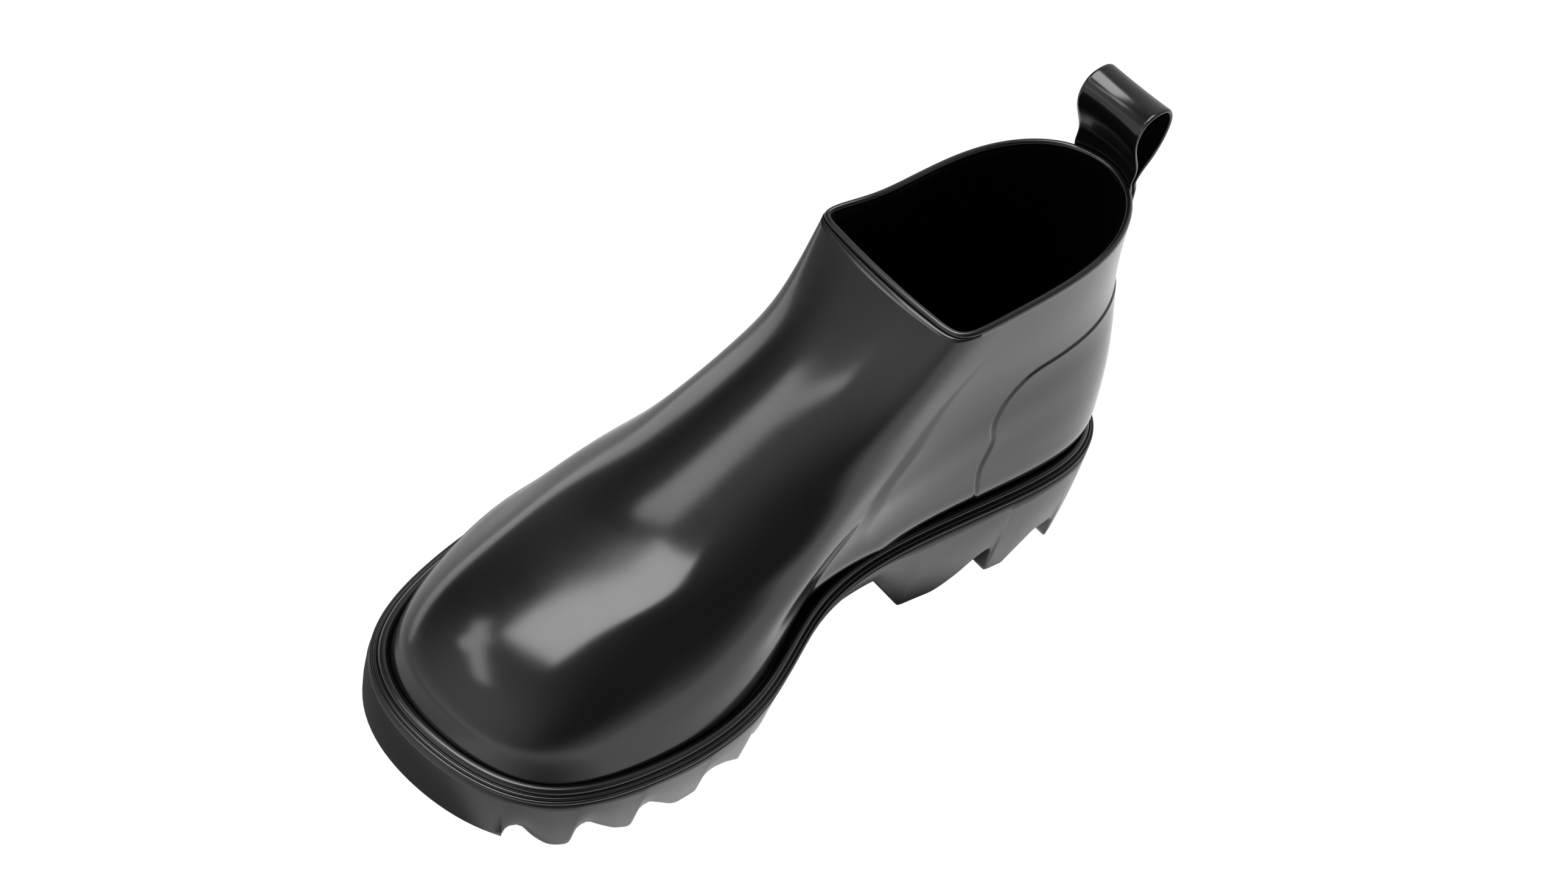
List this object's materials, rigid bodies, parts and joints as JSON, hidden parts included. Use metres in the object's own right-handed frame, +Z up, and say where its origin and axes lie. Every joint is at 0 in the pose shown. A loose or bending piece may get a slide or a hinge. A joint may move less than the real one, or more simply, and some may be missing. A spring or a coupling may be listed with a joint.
{
  "type": "rubber ankle boot",
  "caption": "Right-foot ankle boot in glossy moulded rubber with a thick lugged sole and block heel, ribbed welt, D-shaped collar and a pull-tab loop at the back.",
  "frame": {"origin": "middle of the boot's bounding box in plan, on the ground under the tread", "axes": "+Y towards the heel, -Y towards the toe, +X towards the inner side of the foot, +Z up"},
  "size_m": [0.1158, 0.278, 0.1773],
  "materials": {
    "outsole": "semi-gloss moulded rubber",
    "heel_core": "foam rubber",
    "forefoot_filler": "foam rubber",
    "shank": "plain spring steel",
    "insole_board": "pressed fibreboard",
    "footbed": "soft foam",
    "footbed_cover": "knitted cloth",
    "welt": "glossy moulded rubber",
    "upper_shell": "glossy moulded rubber",
    "toe_puff": "matt stiffener sheet",
    "counter_stiffener": "matt stiffener sheet",
    "lining": "knitted cloth",
    "heel_counter": "glossy moulded rubber",
    "topline_binding": "glossy moulded rubber",
    "pull_tab_root": "glossy moulded rubber",
    "pull_tab": "glossy moulded rubber"
  },
  "bodies": {
    "boot": {"outsole": "outsole", "heel_core": "heel_core", "forefoot_filler": "forefoot_filler", "shank": "shank", "insole_board": "insole_board", "footbed": "footbed", "footbed_cover": "footbed_cover", "welt": "welt", "upper_shell": "upper_shell", "toe_puff": "toe_puff", "counter_stiffener": "counter_stiffener", "lining": "lining", "heel_counter": "heel_counter", "topline_binding": "topline_binding", "pull_tab_root": "pull_tab_root"},
    "pull_tab": {"pull_tab": "pull_tab"}
  },
  "joints": [
    {"name": "pull_tab_bend", "type": "hinge", "parent": "boot", "child": "pull_tab", "pos_m": [0.0047, 0.12685, 0.1445], "axis": [1, 0, 0], "range_deg": [-20, 25], "stiffness_Nm_per_rad": 0.04}
  ]
}
